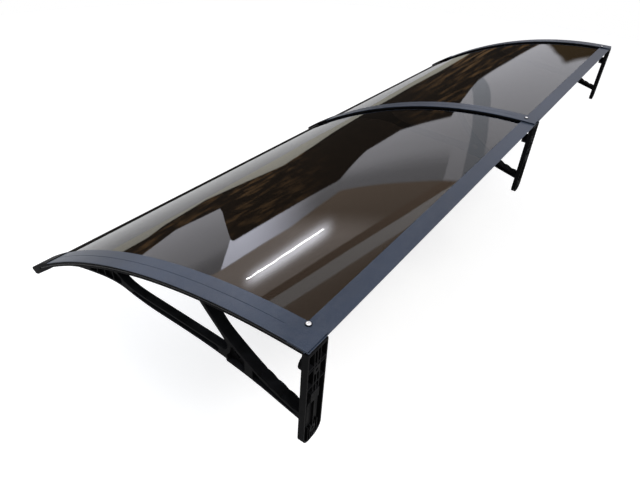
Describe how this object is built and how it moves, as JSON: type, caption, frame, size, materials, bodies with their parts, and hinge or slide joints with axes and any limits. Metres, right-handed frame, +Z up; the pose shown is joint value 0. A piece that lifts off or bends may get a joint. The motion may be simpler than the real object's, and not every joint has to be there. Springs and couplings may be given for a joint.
{
  "type": "door canopy",
  "caption": "Curved door canopy of smoked clear sheet on moulded wall brackets, with aluminium clamping strips, a flat wall bar and a black front bar.",
  "frame": {"origin": "middle of the centre bracket's wall plate, on the wall face", "axes": "+X along the wall, to the right of someone who faces the wall from outside, +Y into the wall, +Z up; the canopy projects to -Y"},
  "size_m": [2.865, 1.0071, 0.3309],
  "materials": {
    "moulded_plastic": "fine-grained black moulded plastic",
    "coated_aluminium": "satin dark blue-grey powder coat",
    "black_aluminium": "satin black",
    "smoked_sheet": "glossy see-through smoked bronze",
    "rubber": "matt black",
    "steel": "bright zinc-plated"
  },
  "bodies": {
    "root": {"bracket_left": "moulded_plastic", "clamping_strip_left": "coated_aluminium", "edge_seal_left_a": "rubber", "edge_seal_left_b": "rubber", "nose_cap_left": "moulded_plastic", "screw_left": "steel", "rubber_washer_left": "rubber", "bracket_middle": "moulded_plastic", "clamping_strip_middle": "coated_aluminium", "edge_seal_middle_a": "rubber", "edge_seal_middle_b": "rubber", "nose_cap_middle": "moulded_plastic", "screw_middle": "steel", "rubber_washer_middle": "rubber", "bracket_right": "moulded_plastic", "clamping_strip_right": "coated_aluminium", "edge_seal_right_a": "rubber", "edge_seal_right_b": "rubber", "nose_cap_right": "moulded_plastic", "screw_right": "steel", "rubber_washer_right": "rubber", "sheet_left": "smoked_sheet", "wall_bar_left": "coated_aluminium", "wall_seal_left": "rubber", "front_bar_left": "black_aluminium", "sheet_right": "smoked_sheet", "wall_bar_right": "coated_aluminium", "wall_seal_right": "rubber", "front_bar_right": "black_aluminium"}
  },
  "joints": []
}
